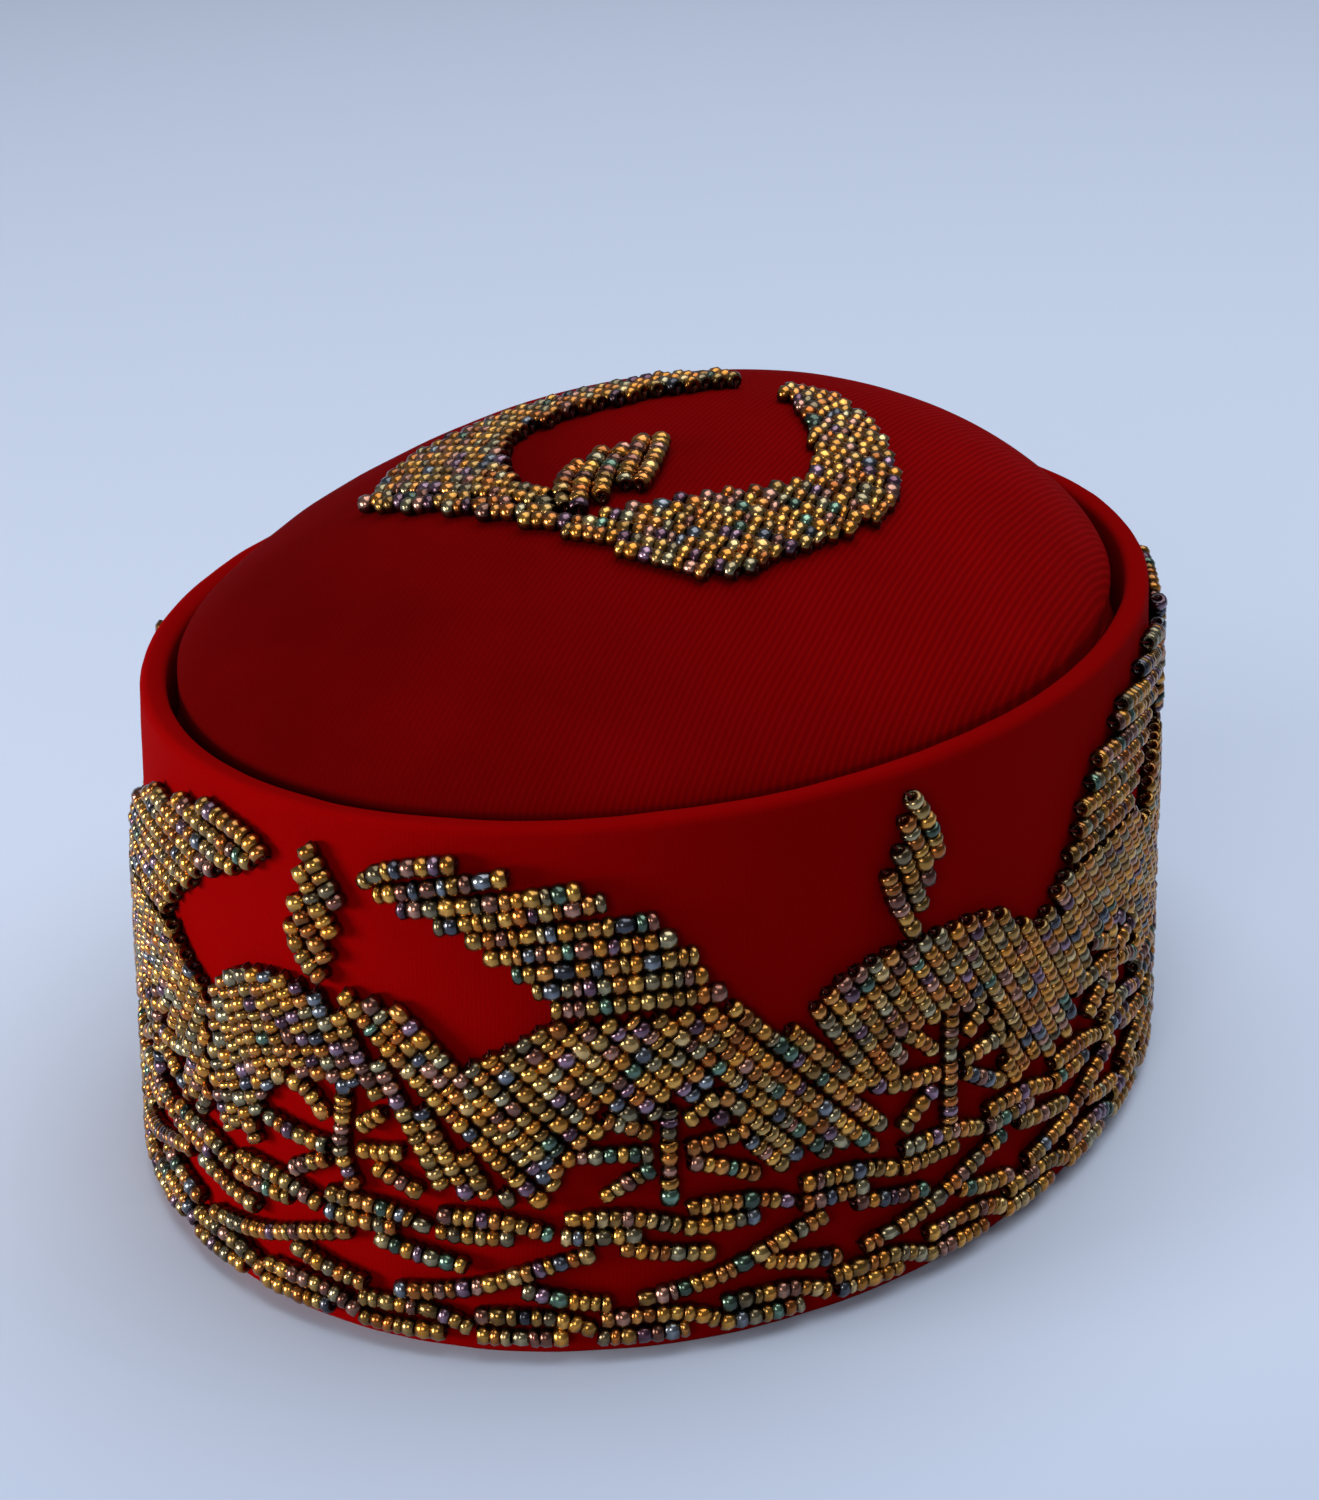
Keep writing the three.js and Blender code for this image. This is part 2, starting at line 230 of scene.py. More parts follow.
bandLook = {
    "ground": (0.19, 0.0002, 0.0004, 1),
    "rib": (0.25, 0.0006, 0.0009, 1),
    "wornAndShade": (0.15, 0.0001, 0.0003, 1),
    "ribsRound": 780,
    "ribShift": 1.2,
    "ribDepth": 0.2,
    "paintedShadeWhereFaded": 0.0,
    "patchScale": 30.0,  # the ribs show in patches
    "patchGain": 3.0,
    "patchFrom": 1.1,
    "weftScale": 900.0,
}
twill = {
    "driftScale": 22.0,
    "ribSharp": 1.6,
    "ribFuzz": 1.6,
    "ribGloss": 0.12,
    "roughness": 0.95,
    "fuzzScale": 2600.0,
    "fuzzDetail": 3.0,
    "fuzzRough": 0.7,
    "fuzzDepth": 0.5,
    "weftDepth": 0.25,
    "blotchScale": 38.0,
    "blotchDetail": 3.0,
    "blotchWorn": 0.4,
    "reliefStrength": 0.3,
    "reliefDepth": 0.00022,
}

# The beads' metal lustre lies under a thin clear coat, with dull clouds and fine pits
glassLook = {
    "metallic": 0.96,
    "coat": 0.22,
    "coatRough": 0.05,
    "cloud": (0.03, 0.014, 0.008, 1),
    "cloudScale": 1100.0,
    "cloudShare": 0.4,
    "polish": 0.1,
    "cloudRough": 0.26,
    "pitScale": 2600.0,
    "pitStrength": 0.3,
    "pitDepth": 0.00012,
}
threadLook = {
    "dark": (0.02, 0.0005, 0.001, 1),
    "light": (0.09, 0.004, 0.006, 1),
    "roughness": 0.85,
    "shine": 0.1,
    "strandScale": 3000.0,
    "strandStrength": 0.5,
    "strandDepth": 0.0001,
}


def clothShop(name):
    return Shop(name, {"Roughness": 0.9, "Sheen Weight": 0.06, "Sheen Roughness": 0.5,
                       "Sheen Tint": (0.6, 0.01, 0.01, 1), "Specular IOR Level": 0.02,
                       "Specular Tint": (1, 0.02, 0.02, 1)})


def clothFinish(shop, place, look, phase, fade, weft):
    depth = fade * look["ribDepth"]
    rib = phase.wave().power(twill["ribSharp"]) * depth
    fuzz = shop.noise(place, twill["fuzzScale"], twill["fuzzDetail"], twill["fuzzRough"])
    blotch = shop.noise(place, twill["blotchScale"], twill["blotchDetail"])
    colour = shop.mix(rib * fuzz * twill["ribFuzz"], look["ground"], look["rib"])
    # the dark red comes in random blotches of real wear, and as painted shade on the crown's front left where
    # the ribs fade
    wornAndShade = blotch * twill["blotchWorn"] + (1.0 - fade) * look["paintedShadeWhereFaded"]
    relief = rib + weft.wave() * depth * twill["weftDepth"] + fuzz * twill["fuzzDepth"]
    shop.feed("Base Color", shop.mix(wornAndShade, colour, look["wornAndShade"]))
    shop.feed("Roughness", twill["roughness"] - rib * twill["ribGloss"])
    shop.feed("Normal", shop.bump(relief, twill["reliefStrength"], twill["reliefDepth"]))
    return shop.material


def crownMaterial():
    shop = clothShop("crownTwill")
    place = shop.node("ShaderNodeTexCoord", {}, {}, "Object")
    drift = shop.noise(place, twill["driftScale"])
    right, back = shop.split(place)
    turn = math.radians(crownLook["ribTurn"])
    across = right * math.cos(turn) + back * math.sin(turn)
    phase = (across * (1 / crownLook["ribPitch"]) + drift * crownLook["ribShift"]) * (2 * math.pi)
    # a ramp towards the crown's back right, where the light falls: there the ribs show most and no shade is
    # painted
    litSide = (right + back * crownLook["fadeBack"] - crownLook["fadeFrom"]) * (1 / crownLook["fadeRun"])
    fade = litSide.clamped() * (1 - crownLook["leastRib"]) + crownLook["leastRib"]
    return clothFinish(shop, place, crownLook, phase, fade, back * crownLook["weftScale"])


def bandMaterial():
    shop = clothShop("bandTwill")
    place = shop.node("ShaderNodeTexCoord", {}, {}, "Object")
    drift = shop.noise(place, twill["driftScale"])
    along, up = shop.split(shop.node("ShaderNodeUVMap", {"uv_map": "clothMap"}, {}))
    phase = (along * bandLook["ribsRound"] + drift * bandLook["ribShift"]) * (2 * math.pi)
    patches = shop.noise(place, bandLook["patchScale"], 1.0) * bandLook["patchGain"] - bandLook["patchFrom"]
    return clothFinish(shop, place, bandLook, phase, patches.clamped(), up * bandLook["weftScale"])


def beadMaterial():
    look = glassLook
    shop = Shop("beadGlass", {"Metallic": look["metallic"], "Coat Weight": look["coat"],
                              "Coat Roughness": look["coatRough"]})
    tint = shop.node("ShaderNodeAttribute", {"attribute_name": "beadColourAndShade"}, {}, "Color")
    place = shop.node("ShaderNodeTexCoord", {}, {}, "Object")
    cloud = shop.noise(place, look["cloudScale"])
    pits = shop.noise(place, look["pitScale"])
    shop.feed("Base Color", shop.mix(look["cloudShare"] * cloud, tint, look["cloud"]))
    shop.feed("Roughness", look["polish"] + cloud * look["cloudRough"])
    shop.feed("Normal", shop.bump(pits, look["pitStrength"], look["pitDepth"]))
    return shop.material


def threadMaterial():
    look = threadLook
    shop = Shop("redThread", {"Roughness": look["roughness"], "Specular IOR Level": look["shine"]})
    place = shop.node("ShaderNodeTexCoord", {}, {}, "Object")
    strands = shop.noise(place, look["strandScale"])
    shop.feed("Base Color", shop.mix(strands, look["dark"], look["light"]))
    shop.feed("Normal", shop.bump(strands, look["strandStrength"], look["strandDepth"]))
    return shop.material


# Cloth pieces: the wall of an open cylinder is subdivided, laid over the cap's form, thickened and rounded
def deselectAll():
    for thing in bpy.context.selected_objects:
        thing.select_set(False)


def clothWall(name, around, rows):
    # the cylinder is one unit high, and its upright edges alone are cut, into rows
    deselectAll()
    bpy.ops.mesh.primitive_cylinder_add(
        vertices=around, radius=1, depth=1, end_fill_type="NOTHING", calc_uvs=True
    )
    wall = bpy.context.object
    wall.name = name
    wall.data.name = name
    wall.data.uv_layers[0].name = "clothMap"
    bpy.ops.object.mode_set(mode="EDIT")
    bpy.context.tool_settings.mesh_select_mode = (False, True, False)
    bpy.ops.mesh.select_all(action="DESELECT")
    bpy.ops.object.mode_set(mode="OBJECT")
    for edge in wall.data.edges:
        foot, head = (wall.data.vertices[i].co.z for i in edge.vertices)
        edge.select = abs(foot - head) > 0.5
    bpy.ops.object.mode_set(mode="EDIT")
    bpy.ops.mesh.subdivide(number_cuts=rows - 1)
    bpy.ops.object.mode_set(mode="OBJECT")
    return wall


def layOver(wall, form):
    # form takes the share up the wall and the angle from the front
    co = np.array([vertex.co for vertex in wall.data.vertices])
    up = co[:, 2] + 0.5
    angle = np.arctan2(co[:, 0], -co[:, 1])
    wall.data.vertices.foreach_set("co", form(up, angle).astype(np.float32).ravel())
    wall.data.update()


def softened(wall, amount, size):
    # cloth is never quite true: its points move a little along their normals, in broad waves and fine ones
    fineShare = 0.4
    fineSize = size * 0.3
    normals = [vertex.normal.copy() for vertex in wall.data.vertices]
    places = [vertex.co.copy() for vertex in wall.data.vertices]
    pushed = []
    for place, normal in zip(places, normals):
        push = noise.noise(place / size) + fineShare * noise.noise(place / fineSize)
        pushed.append(place + normal * push * amount)
    wall.data.vertices.foreach_set("co", np.array(pushed, np.float32).ravel())
    wall.data.update()


def finishModifier(piece, kind, **values):
    deselectAll()
    piece.select_set(True)
    bpy.context.view_layer.objects.active = piece
    made = piece.modifiers.new(kind.title(), kind)
    for name, value in values.items():
        setattr(made, name, value)
    bpy.ops.object.modifier_apply(modifier=made.name)


def roundCorners(wall, width, steps, sharper):
    # corners sharper than so many degrees are rounded
    limit = math.radians(sharper)
    finishModifier(wall, "BEVEL", width=width, segments=steps, limit_method="ANGLE", angle_limit=limit)


bandCloth = {
    "around": 288,
    "rows": 26,
    "rimSoft": 0.0015,
    "rimSteps": 5,
    "rimAngle": 45,
    "waver": 0.00022,
    "waverSize": 0.02,
}


def makeBand(material):
    wall = clothWall("bandCloth", bandCloth["around"], bandCloth["rows"])

    def form(up, angle):
        height = up * cap["bandHeight"]
        return capPoint(bandRadius(height), height, angle)

    layOver(wall, form)
    finishModifier(wall, "SOLIDIFY", thickness=cap["bandWall"], offset=-1, use_even_offset=True)
    roundCorners(wall, bandCloth["rimSoft"], bandCloth["rimSteps"], bandCloth["rimAngle"])
    softened(wall, bandCloth["waver"], bandCloth["waverSize"])
    for vertex in wall.data.vertices:
        vertex.co.z = max(vertex.co.z, 0)
    wall.data.shade_smooth()
    wall.data.materials.append(material)
    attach(wall, "root")
    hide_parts("band")


crownCloth = {
    "around": 288,
    "rows": 84,
    "domeShare": 0.66,  # the dome has this share of the rows
    "domeKnots": 60,
    "wallKnots": 8,
    "weld": 0.00001,
    "waver": 0.0003,
    "waverSize": 0.035,
    "swellFrom": 0.72,  # the padded edge swells out towards the rim, most of all at the front
    "swell": 0.0012,
    "frontSwell": 0.0009,
    "edgeSoft": 0.0006,
    "edgeSteps": 2,
    "edgeAngle": 60,
}


def makeCrown(material):
    wall = clothWall("crownCloth", crownCloth["around"], crownCloth["rows"])
    skirtTop = cap["bandHeight"] - cap["grooveDepth"] - cap["seamRun"]

    def skirtRadius(height):
        return bandRadius(height) - cap["bandWall"] - cap["sewnGap"]

    # each knot of the outline, from the top down: radius, height, and how much of the swell it has
    reach = np.sin(np.linspace(0, np.pi / 2, crownCloth["domeKnots"]))
    swollen = ((reach - crownCloth["swellFrom"]) / (1 - crownCloth["swellFrom"])).clip(0, 1) ** 2
    dome = np.stack([crownHalfLength * reach, cap["bandHeight"] + domeHeight(reach), swollen], -1)
    corners = np.array([
        dome[-1],
        (crownHalfLength, cap["bandHeight"] - cap["grooveDepth"] + cap["crownWall"], 1),
        (skirtRadius(skirtTop), skirtTop, 0),
        (skirtRadius(cap["skirtHem"]), cap["skirtHem"], 0),
    ])
    wallCount = crownCloth["wallKnots"] * (len(corners) - 1)
    alongWall = np.arange(1, wallCount + 1) / crownCloth["wallKnots"]
    below = np.stack([np.interp(alongWall, np.arange(len(corners)), column) for column in corners.T], -1)
    profile = np.concatenate([dome, below])
    share = crownCloth["domeShare"]
    wallKnots = share + (1 - share) * np.arange(1, wallCount + 1) / wallCount
    knots = np.concatenate([np.linspace(0, share, len(dome)), wallKnots])

    def form(up, angle):
        radius, height, swell = (np.interp(1 - up, knots, column) for column in profile.T)
        place = capPoint(radius, height, angle)
        swell *= crownCloth["swell"] + crownCloth["frontSwell"] * np.cos(angle).clip(0, 1) ** 2
        place[:, 0] += swell * np.sin(angle)
        place[:, 1] -= swell * np.cos(angle)
        return place

    layOver(wall, form)
    bpy.ops.object.mode_set(mode="EDIT")
    bpy.ops.mesh.select_all(action="SELECT")
    bpy.ops.mesh.remove_doubles(threshold=crownCloth["weld"])
    bpy.ops.object.mode_set(mode="OBJECT")
    softened(wall, crownCloth["waver"], crownCloth["waverSize"])
    finishModifier(wall, "SOLIDIFY", thickness=cap["crownWall"], offset=-1, use_even_offset=False)
    roundCorners(wall, crownCloth["edgeSoft"], crownCloth["edgeSteps"], crownCloth["edgeAngle"])
    wall.data.shade_smooth()
    wall.data.materials.append(material)
    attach(wall, "root")
    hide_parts("crown")


# One seed bead: a ring with a long oval section, its hole along X, one unit across and one unit long
bead = {
    "radius": 0.00124,
    "pitch": 0.00202,
    "unevenLength": 0.19,
    "shortest": 0.65,
    "longestUsual": 1.6,
    "usualRadius": 0.985,
    "unevenRadius": 0.06,
    "filled": 0.97,  # the share of its place on the string that a bead fills
    "lean": 0.1,
    "longShare": 0.025,  # a few are small tubes, a little thinner
    "longLeast": 1.4,
    "longest": 1.75,
    "longRadius": 0.88,
    "sides": 10,
    "section": 6,
    "hole": 0.24,
    "shoulder": (1.17, 1.17, 0.94),  # brings the round section nearer to a barrel's
    "shoulderReach": 0.99,  # the shoulder's points lie nearer to the axis than this
    "lip": (1.18, 1.18, 1.14),
    "lipReach": 0.31,  # and the lip's farther from it than this
    "shades": (0.4, 1.0),
    "endShade": 0.4,  # painted shade towards the bead's ends, where it meets its neighbours
    "underShade": 0.16,  # and painted shade on its side towards the cloth
    # the side facing away from the cloth is left bright, as painted light from above
    "litAbove": 0.36,
    "glintTwist": 2,  # how far a glint winds round the bead on its way along it
    "apart": 0.00192,  # beads of two strings never come closer than this
    "leafGrown": 1.05,  # the small leaves' beads are a little larger
    "crownLeafGrown": 1.1,
    "fineStep": 0.7,  # a string's path is read at these steps of the chart
    "axisReach": 0.0007,  # a bead's hole points from so far behind it to so far ahead
    "threadRadius": 0.00018,
    "threadTail": 0.00006,
    "threadStart": 0.35,  # a share of the bead's length from its middle
    "threadColour": (0.2, 0.01, 0.02, 1),
}


def makeBeadForm():
    deselectAll()
    ring = (1 + bead["hole"]) / 2
    bpy.ops.mesh.primitive_torus_add(
        major_segments=bead["sides"], minor_segments=bead["section"], major_radius=ring, minor_radius=1 - ring
    )
    form = bpy.context.object
    bpy.ops.object.mode_set(mode="EDIT")
    bpy.ops.mesh.select_all(action="SELECT")
    bpy.ops.transform.resize(value=(1, 1, 0.5 / (1 - ring)))
    bpy.ops.object.mode_set(mode="OBJECT")
    stretches = ((ring, bead["shoulderReach"], bead["shoulder"]), (bead["lipReach"], ring, bead["lip"]))
    for nearest, farthest, stretch in stretches:
        for vertex in form.data.vertices:
            vertex.select = nearest < math.hypot(vertex.co.x, vertex.co.y) < farthest
        bpy.ops.object.mode_set(mode="EDIT")
        bpy.ops.transform.resize(value=stretch)
        bpy.ops.object.mode_set(mode="OBJECT")
    points = np.array([vertex.co for vertex in form.data.vertices])[:, [2, 0, 1]]
    faces = np.array([list(face.vertices) for face in form.data.polygons])
    points[:, 0] /= np.abs(points[:, 0]).max() * 2
    bpy.data.objects.remove(form)
    return points, faces


beadPoints, beadFaces = makeBeadForm()

# The bead lustres: a colour, how often it is met, and the glint that plays over it
lustres = [
    ((0.82, 0.3, 0.03), 32, (1.0, 0.52, 0.1)),
    ((0.62, 0.17, 0.02), 19, (0.92, 0.38, 0.08)),
    ((0.48, 0.23, 0.04), 15, (0.74, 0.46, 0.14)),
    ((0.28, 0.2, 0.1), 10, (0.58, 0.5, 0.28)),
    ((0.32, 0.12, 0.08), 9, (0.72, 0.36, 0.25)),
    ((0.16, 0.07, 0.11), 5, (0.46, 0.28, 0.38)),
    ((0.1, 0.11, 0.14), 4, (0.34, 0.38, 0.42)),
    ((0.08, 0.13, 0.09), 3, (0.26, 0.46, 0.32)),
    ((0.9, 0.52, 0.16), 3, (1.0, 0.74, 0.34)),
]
lustreOdds = np.array([row[1] for row in lustres], float)
lustreOdds /= lustreOdds.sum()

laid = {}  # piece name: its beads
tails = {}  # piece name: its thread ends
taken = {}  # cells of the chart that hold beads
stringCount = [0]  # in a list, because layString adds to it


def rounded(path):
    # corners are cut twice, a quarter of the way along, and the two ends stay
    path = np.array(path, float)
    for _ in range(2):
        if len(path) < 3:
            break
        cut = np.concatenate([path[:-1] * 0.75 + path[1:] * 0.25, path[:-1] * 0.25 + path[1:] * 0.75], axis=1)
        path = np.concatenate([path[:1], cut.reshape(-1, 2)[1:-1], path[-1:]])
    return path


def nearOther(surfaceName, x, y, number):
    # whether a bead of another string is too near; if none is, the place is taken
    wrap = chart["halfRepeat"] * chart["halfRepeats"] * chart["step"]
    x = x % wrap if surfaceName == "wall" else x
    cell = bead["apart"]
    i, j = int(x // cell), int(y // cell)
    for di in (-1, 0, 1):
        for dj in (-1, 0, 1):
            for ox, oy, other in taken.get((surfaceName, i + di, j + dj), ()):
                if other != number and math.hypot(ox - x, oy - y) < cell:
                    return True
    taken.setdefault((surfaceName, i, j), []).append((x, y, number))
    return False


def threadEnd(made, way, fullRadius):
    # a stitch leaves the bead's hole, bends down past the bead's end and goes into the cloth
    axis, _, out = made["axes"]
    start = made["middle"] + axis * way * made["length"] * bead["threadStart"]
    knee = made["middle"] + axis * way * (made["length"] * 0.5 + bead["threadTail"] * 0.5)
    knee = knee - out * fullRadius * 0.5
    foot = made["middle"] + axis * way * (made["length"] * 0.5 + bead["threadTail"])
    foot = foot - out * (fullRadius + cap["sewnGap"])
    return start, knee, foot


def layString(piece, surfaceName, path, grown=1.0):
    # beads side by side along a path on the chart, less those that would run into another string
    surface = wallSurface if surfaceName == "wall" else crownSurface
    path = rounded(path)
    lengths = np.linalg.norm(np.diff(path, axis=0), axis=1)
    knots = np.concatenate([[0], np.cumsum(lengths)])
    fine = np.linspace(0, knots[-1], max(3, int(knots[-1] / bead["fineStep"])))
    line = np.stack([np.interp(fine, knots, path[:, 0]), np.interp(fine, knots, path[:, 1])], -1)
    fullRadius = bead["radius"] * grown
    place, up = surface(line[:, 0], line[:, 1], cap["sewnGap"] + fullRadius)
    run = np.concatenate([[0], np.cumsum(np.linalg.norm(np.diff(place, axis=0), axis=1))])
    count = max(1, round(run[-1] / bead["pitch"] / grown))
    sizes = draws.normal(1, bead["unevenLength"], count).clip(bead["shortest"], bead["longestUsual"])
    isLong = draws.uniform(0, 1, count) < bead["longShare"]
    sizes = np.where(isLong, draws.uniform(bead["longLeast"], bead["longest"], count), sizes)
    ends = np.concatenate([[0], np.cumsum(sizes)]) * run[-1] / sizes.sum()
    stringCount[0] += 1

    def read(table, distance):
        return [np.interp(distance, run, column) for column in table.T]

    kept = []
    for k in range(count):
        middle = (ends[k] + ends[k + 1]) / 2
        normal = Vector(read(up, middle)).normalized()
        ahead = Vector(read(place, middle + bead["axisReach"]))
        behind = Vector(read(place, middle - bead["axisReach"]))
        axis = (ahead - behind).normalized()
        x, y = (value * chart["step"] for value in read(line, middle))
        radius = fullRadius * draws.normal(bead["usualRadius"], bead["unevenRadius"])
        radius *= bead["longRadius"] if isLong[k] else 1
        lean = draws.normal(0, bead["lean"], 3)
        lustre = draws.choice(len(lustres), p=lustreOdds)
        shade = draws.uniform(*bead["shades"])
        glint = draws.uniform(0, 2 * np.pi)
        if nearOther(surfaceName, x, y, stringCount[0]):
            kept.append(None)
            continue
        axis = (axis + Vector(lean)).normalized()
        side = normal.cross(axis).normalized()
        kept.append({
            "middle": Vector(read(place, middle)),
            "axes": (axis, side, axis.cross(side)),
            "length": (ends[k + 1] - ends[k]) * bead["filled"],
            "radius": min(radius, fullRadius),
            "lustre": lustre,
            "shade": shade,
            "glint": glint,
        })
    for k, made in enumerate(kept):
        if made is None:
            continue
        laid.setdefault(piece, []).append(made)
        for way in (-1, 1):
            if not 0 <= k + way < count or kept[k + way] is None:
                tails.setdefault(piece, []).append(threadEnd(made, way, fullRadius))


# The little leaves: strings from the tip down, in chart steps from the leaf's own middle
frontLeafStrings = [
    [(0.2, 81.2), (2.3, 77.9), (4.6, 74.2), (5.8, 72.6)],
    [(-1.4, 77.5), (0.4, 75.7), (2.1, 71.6), (3.7, 69.3), (4.6, 67.6)],
    [(-1.9, 73), (-1.4, 71), (0.3, 68.6), (2.1, 65.4), (3.7, 63.5)],
    [(-2.6, 68.8), (-2.5, 67), (-1.9, 64.9), (0.7, 61.9), (2.8, 60.4)],
]
sideLeafStrings = [
    [(-3.1, 82.6), (-1.6, 80.5), (0, 78), (1.2, 75.6), (2.2, 71.7)],
    [(-4.2, 79.4), (-3.1, 77), (-1.6, 74.2), (-0.5, 72), (0.2, 67.9)],
    [(-5.3, 74.9), (-4, 72.4), (-2.6, 68), (-0.8, 64.4)],
    [(-7.4, 71.7), (-6.6, 69.5), (-5.9, 67.2), (-4.8, 65), (-2.1, 60.6)],
]

# A wing's rows, from its tip down to its root over the field
wingRows = [
    [(9.6, 77), (11.8, 79.1), (17.5, 80.6), (23.7, 81.5)],
    [(11.8, 75.6), (20, 77.6), (31, 79.8)],
    [(15.3, 73.8), (26, 75.4), (41.2, 77.5)],
    [(20.5, 71.6), (33, 74), (44.7, 75.6)],
    [(25, 69.8), (38, 71.4), (52, 72)],
    [(27.5, 67.2), (41, 68.6), (54.6, 69)],
    [(31.4, 64.7), (45, 65.7), (57.7, 65.9)],
    [(34.2, 62.1), (46, 62.7), (59.1, 62.6)],
    [(36.7, 59.1), (49, 59.6), (61.9, 59.4)],
]

# The field's top edge over half a repeat, and the rows of beads that fill the field
fieldEdge = {
    "along": [0, 0.06, 0.15, 0.195, 0.24, 0.28, 0.33, 0.365, 0.645,
              0.67, 0.71, 0.737, 0.76, 0.79, 0.83, 0.9, 1],
    "high": [58.8, 60, 58.8, 56.2, 50.6, 52.4, 55.3, 57.9, 57.9,
             56.6, 53.6, 51.7, 52.4, 55.6, 58.1, 59.8, 60],
    "margin": 0.7,
    "bottom": 28.2,
    "ragged": (-1.3, 1.6),  # the rows end at uneven heights
}
# Bands of one direction: where each starts, in half repeats from the front, how steeply its rows run down,
# in degrees, and how steep its near edge is; the last row only closes the ring
fieldBands = [
    {"start": -3, "slope": -55, "edge": 90},
    {"start": -1.263, "slope": -60, "edge": -60},
    {"start": -0.24, "slope": 64, "edge": 90},
    {"start": 0, "slope": 47, "edge": 47},
    {"start": 0.715, "slope": 56, "edge": 56},
    {"start": 1.263, "slope": 50, "edge": 50},
    {"start": 2.715, "slope": 55, "edge": 55},
    {"start": 3, "slope": 55, "edge": 90},
]
fieldRows = {
    "top": 60.5,
    "lowest": 24,
    "fineStep": 0.25,
    "apart": 2.68,
    "clear": 0.5,
    "shortest": 2,
    "tilt": 0.006,
    "bend": 0.13,
}

# Windows in the field: how far each reaches beside its stem, its arch, and the strings in it, in chart steps
# from the stem's middle; every fourth window is the same
stems = {"first": 4.4, "apart": 47.92, "count": 12}
frontWindow = {
    "left": 16.5,
    "right": 12.6,
    "low": 31,
    "rise": 13,
    "strings": [
        [(0.2, 45), (0.1, 41), (-0.4, 36.4), (-0.9, 32.4), (0.3, 29.4), (1.4, 26.5)],
        [(6.5, 40.5), (2.6, 37.4)],
        [(-9.4, 42), (-6.4, 41.4), (-4.6, 39.2), (-3, 37.3)],
        [(-14.6, 34), (-10, 33), (-5.6, 32.6), (-2.8, 32.5)],
        [(2.2, 33.4), (5.6, 33.6), (9.4, 34.4)],
        [(-9.7, 26.6), (-6.6, 28.6), (-3, 30.4)],
        [(4.8, 31.2), (8, 29.6), (12.1, 27.8)],
    ],
}
middleWindow = {
    "left": 16,
    "right": 13,
    "low": 29,
    "rise": 12,
    "strings": [
        [(0.1, 42), (0, 38), (0.1, 32), (0.1, 26)],
        [(-9.4, 41), (-5.5, 39.6), (-2.6, 38.2)],
        [(2.5, 39.2), (5.3, 41.3), (7.2, 43)],
        [(-15.4, 34.9), (-8, 35.2), (-2.4, 34.8)],
        [(2.5, 34.9), (7.5, 35.4), (12, 36.3)],
        [(-9.8, 28), (-5.5, 30.6), (-2.2, 32.4)],
        [(3, 32.6), (8.7, 30.7), (13.6, 28.4)],
    ],
}
sideWindow = {
    "left": 13.2,
    "right": 13,
    "low": 29,
    "rise": 16,
    "strings": [
        [(0.2, 46.6), (0, 40), (0, 33), (0.1, 26)],
        [(-9.4, 44.4), (-6, 42.4), (-3.4, 39.6)],
        [(7.6, 43.6), (5.4, 41.7), (3.2, 39.8)],
        [(-12.6, 36.6), (-7, 36.1), (-2.6, 35.6)],
        [(2.6, 35.6), (6.6, 36), (12, 36.4)],
        [(-9.6, 28.2), (-6.4, 31.2), (-3.2, 33.4)],
        [(3, 33.6), (7, 31), (12.2, 28.2)],
    ],
}
windows = [frontWindow, middleWindow, sideWindow, middleWindow]

# The net under the field: wavy strings, and double rows above and below them
wave = {"first": 11.6, "apart": 35.94, "count": 16, "wander": 0.3}
waveStrings = [
    [(0, 10.4), (7.5, 11.5), (14, 13.2), (20, 15.7), (24.5, 17.3), (29.5, 18.7)],
    [(18.8, 13), (24, 11.3), (31.5, 10.1)],
    [(33.5, 18.9), (40, 17.4), (47.4, 16.2)],
]
stitch = {"hemFirst": 6, "topFirst": 1.1, "apart": 17.97, "count": 32, "wander": 0.18}
hemStrings = [[(0, 7.4), (6, 7.6), (12.6, 7.4), (17.4, 5)], [(-0.2, 4.3), (6, 4.1), (13.2, 4.3)]]
topStrings = [[(0, 24.6), (10, 24.4), (16.6, 22)], [(-0.6, 21.6), (5, 21.3), (11, 21.4)]]

# How the field and the net are parted into pieces: where piece 1 begins and how long each is, in half
# repeats, and how far past its beginning a string's own place is read, in chart steps
parting = {
    "fieldBeads": {"first": -1.263, "span": 2, "count": 3, "past": 0},
    "netBeads": {"first": 0.122, "span": 1.5, "count": 4, "past": 6},
}


def pieceAlong(name, s):
    # the numbered piece that holds a place along the band
    part = parting[name]
    along = ((s + part["past"]) / chart["halfRepeat"] - part["first"]) % chart["halfRepeats"]
    return f"{name}{int(along // part['span']) % part['count'] + 1}"


def windowAt(index):
    return stems["first"] + index * stems["apart"], windows[index % len(windows)]


def edgeHeight(along):
    fromFront = np.abs(along - 2 * np.round(along / 2))
    return np.interp(fromFront, fieldEdge["along"], fieldEdge["high"])


def inField(s, z, lowest):
    half = chart["halfRepeat"]
    keep = (z < edgeHeight(s / half) - fieldEdge["margin"]) & (z > lowest)
    whole = half * chart["halfRepeats"]
    for index in range(stems["count"]):
        middle, window = windowAt(index)
        aside = (s - middle + whole / 2) % whole - whole / 2
        reach = np.where(aside < 0, window["left"], window["right"])
        arch = window["low"] + window["rise"] * np.sqrt(np.maximum(0, 1 - (aside / reach) ** 2))
        keep &= ~((np.abs(aside) < reach) & (z < arch))
    return keep


def stretches(keep):
    # first and last index of each unbroken run of True
    edges = np.flatnonzero(np.diff(np.concatenate([[0], keep.astype(int), [0]])))
    return zip(edges[::2], edges[1::2] - 1)


def moved(row, along, aside=(0, 0)):
    return [(along + s + aside[0], z + aside[1]) for s, z in row]


